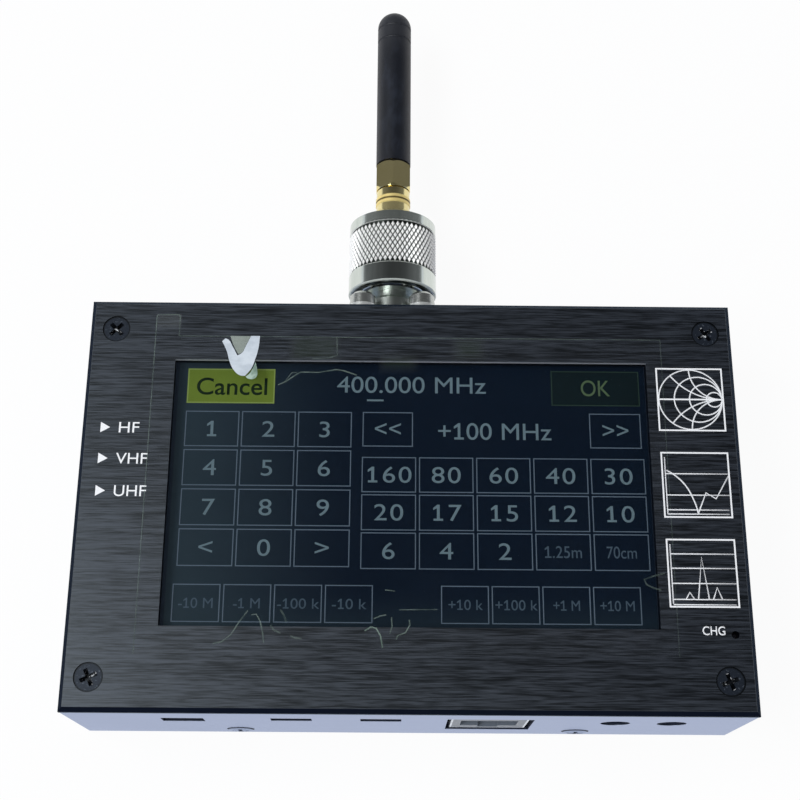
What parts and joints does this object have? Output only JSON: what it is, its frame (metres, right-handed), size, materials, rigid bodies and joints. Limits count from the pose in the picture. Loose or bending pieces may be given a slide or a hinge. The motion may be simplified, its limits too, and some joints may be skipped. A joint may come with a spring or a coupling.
{
  "type": "antenna analyzer",
  "caption": "Handheld touch-screen antenna analyzer in a flat metal case with side sockets, a coaxial adaptor and a screw-on whip antenna.",
  "frame": {"origin": "centre of the rear cover's outer face, on which the case lies", "axes": "+X to the right of the screen, +Y towards the antenna, +Z out of the screen"},
  "size_m": [0.1416, 0.1756, 0.0321],
  "materials": {
    "panel_black": "black anodised, brushed along X",
    "frame_silver": "satin anodised",
    "black_steel": "black oxide",
    "zinc_steel": "bright zinc plated",
    "nickel": "nickel plated brass",
    "gold": "gold plated brass",
    "film_clear": "clear peel-off film",
    "screen_glass": "polished",
    "lcd_dark": "liquid crystal cell",
    "guide_acrylic": "clear acrylic with white back",
    "foam_black": "closed-cell foam tape",
    "tray_steel": "bare stamped steel",
    "board_green": "solder mask on glass fibre",
    "board_blue": "solder mask on glass fibre",
    "black_plastic": "moulded",
    "white_plastic": "moulded",
    "ptfe_white": "turned",
    "led_red": "diffused epoxy",
    "battery_wrap": "foil pouch",
    "lead_jacket": "soft jacket",
    "copper": "enamelled copper",
    "antenna_black": "soft moulded sleeve"
  },
  "bodies": {
    "case": {"front_panel": "panel_black", "case_frame": "frame_silver", "rear_cover": "frame_silver", "front_screws": "black_steel", "cover_screws": "zinc_steel", "display_gasket": "foam_black", "touch_glass": "screen_glass", "lcd_panel": "lcd_dark", "light_guide": "guide_acrylic", "lcd_tray": "tray_steel", "protective_film": "film_clear", "main_board": "board_green", "board_chips": "black_plastic", "board_standoffs": "gold", "board_screws": "zinc_steel", "board_headers": "black_plastic", "mini_usb_socket": "tray_steel", "micro_usb_sockets": "tray_steel", "ethernet_shell": "tray_steel", "ethernet_insert": "black_plastic", "ethernet_contacts": "gold", "audio_jacks": "black_plastic", "card_slot": "tray_steel", "memory_card": "black_plastic", "radio_board": "board_blue", "radio_pin_strips": "black_plastic", "radio_shield": "tray_steel", "radio_lead": "lead_jacket", "battery_pack": "battery_wrap", "battery_pad": "foam_black", "charger_board": "board_green", "battery_plug": "white_plastic", "battery_leads": "lead_jacket", "charge_led": "led_red", "switch_body": "black_plastic", "switch_leads": "lead_jacket", "switch_screws": "zinc_steel", "socket_body": "nickel", "socket_insulator": "ptfe_white", "socket_contact": "gold", "flange_washers": "zinc_steel", "flange_spring_washers": "zinc_steel", "flange_screws": "zinc_steel", "flange_nuts": "zinc_steel"},
    "plug": {"plug_body": "nickel", "plug_seal": "antenna_black", "snap_ring": "zinc_steel", "adaptor_insulator": "ptfe_white", "adaptor_pin": "gold", "sma_barrel": "gold"},
    "coupling_nut": {"coupling_nut": "nickel"},
    "antenna": {"antenna_base": "gold", "antenna_insulator": "ptfe_white", "antenna_pin": "gold", "antenna_coil": "copper", "antenna_core": "white_plastic", "antenna_sheath": "antenna_black"},
    "antenna_nut": {"antenna_nut": "gold"},
    "switch_knob": {"switch_knob": "black_plastic"}
  },
  "joints": [
    {"name": "plug_travel", "type": "slide", "parent": "case", "child": "plug", "axis": [0, 1, 0], "range_m": [0, 0.00635]},
    {"name": "coupling_nut_turn", "type": "hinge", "parent": "plug", "child": "coupling_nut", "pos_m": [-0.0042, 0.0445, 0.016], "axis": [0, 1, 0], "range_deg": [0, 2160]},
    {"name": "antenna_travel", "type": "slide", "parent": "plug", "child": "antenna", "axis": [0, 1, 0], "range_m": [0, 0.00353]},
    {"name": "antenna_nut_turn", "type": "hinge", "parent": "antenna", "child": "antenna_nut", "pos_m": [-0.0042, 0.0445, 0.016], "axis": [0, 1, 0], "range_deg": [0, 1800]},
    {"name": "switch_slide", "type": "slide", "parent": "case", "child": "switch_knob", "axis": [0, 1, 0], "range_m": [0, 0.004]}
  ],
  "couplings": [
    {"joint": "coupling_nut_turn", "follows": "plug_travel", "rad_per_m": 5936.8},
    {"joint": "antenna_nut_turn", "follows": "antenna_travel", "rad_per_m": 8905}
  ]
}
